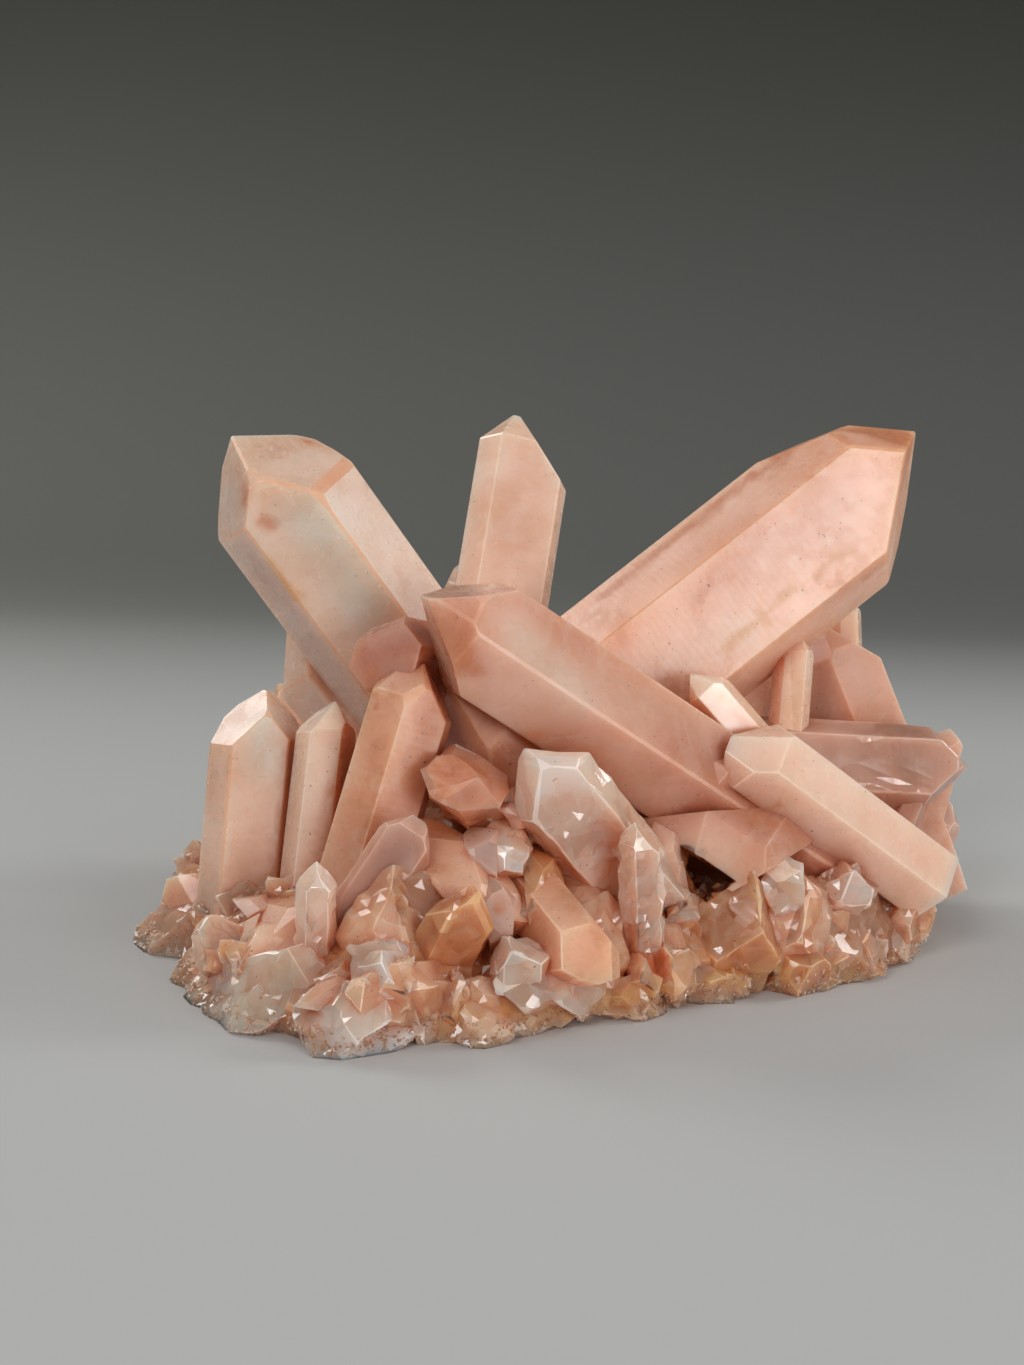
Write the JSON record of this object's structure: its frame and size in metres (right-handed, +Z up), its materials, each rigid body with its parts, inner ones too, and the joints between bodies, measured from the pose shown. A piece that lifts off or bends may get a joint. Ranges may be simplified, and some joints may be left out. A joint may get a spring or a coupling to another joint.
{
  "type": "hematoid quartz crystal cluster",
  "caption": "Natural cluster of peach-pink quartz points leaning outward from a granular crystal crust with a flat underside, to stand on a shelf.",
  "frame": {"origin": "centre of the underside's bounding box, on the flat cut the cluster rests on", "axes": "+Z up, +X to the right and +Y away for someone facing the front, where the large diagonal point crosses"},
  "size_m": [0.0794, 0.0652, 0.0485],
  "materials": {
    "hematoid_quartz": "milky to clear peach-pink quartz with rust-coloured iron oxide, glossy faces"
  },
  "bodies": {
    "root": {"cluster": "hematoid_quartz"}
  },
  "joints": []
}
